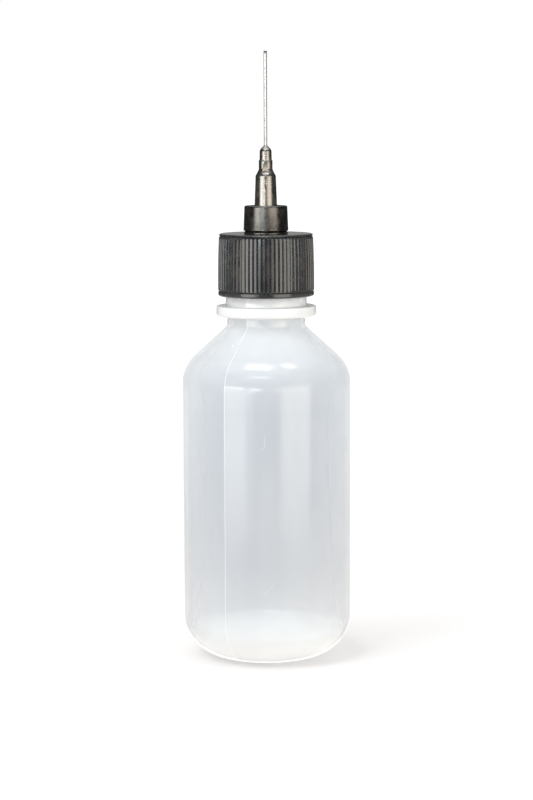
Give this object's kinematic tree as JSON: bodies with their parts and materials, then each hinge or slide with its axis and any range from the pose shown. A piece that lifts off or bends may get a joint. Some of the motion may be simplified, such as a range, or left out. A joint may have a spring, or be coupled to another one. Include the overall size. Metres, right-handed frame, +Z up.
{
  "type": "glue applicator bottle",
  "caption": "Translucent squeeze bottle with a ribbed screw cap that carries a locking collar and a blunt metal dispensing needle.",
  "frame": {"origin": "centre of the base, on the surface that the bottle stands on", "axes": "+Z up along the bottle's axis, towards the needle's tip; the front faces -Y"},
  "size_m": [0.048, 0.048, 0.1713],
  "materials": {
    "milky_polyethylene": "translucent milky, satin",
    "black_plastic": "glossy black, moulded",
    "white_foam": "fine closed foam",
    "smoked_nickel": "dark satin plating",
    "bright_nickel": "turned and bright plated",
    "stainless_steel": "drawn, bright",
    "black_rubber": "matt",
    "solder": "smooth bead"
  },
  "bodies": {
    "bottle": {"bottle": "milky_polyethylene"},
    "liner": {"cap_liner": "white_foam"},
    "cap": {"screw_cap": "black_plastic", "lock_collar": "smoked_nickel", "spout_stem": "bright_nickel", "stem_o_ring": "black_rubber", "nut_washer": "stainless_steel", "lock_nut": "stainless_steel"},
    "cannula": {"needle_tube": "stainless_steel"},
    "hub": {"needle_hub": "bright_nickel", "solder_fillet": "solder"}
  },
  "joints": [
    {"name": "cap_lift", "type": "slide", "parent": "bottle", "child": "liner", "axis": [0, 0, 1], "range_m": [0, 0.01905]},
    {"name": "cap_turn", "type": "hinge", "parent": "liner", "child": "cap", "pos_m": [0, 0, 0.1029], "axis": [0, 0, 1], "range_deg": [0, 2161]},
    {"name": "needle_lift", "type": "slide", "parent": "cap", "child": "cannula", "axis": [0, 0, 1], "range_m": [0, 0.01]},
    {"name": "needle_turn", "type": "hinge", "parent": "cannula", "child": "hub", "pos_m": [0, 0, 0.12365], "axis": [0, 0, 1], "range_deg": [0, 721]}
  ],
  "couplings": [
    {"joint": "cap_turn", "follows": "cap_lift", "rad_per_m": 1979},
    {"joint": "needle_turn", "follows": "needle_lift", "rad_per_m": 1256.6}
  ]
}
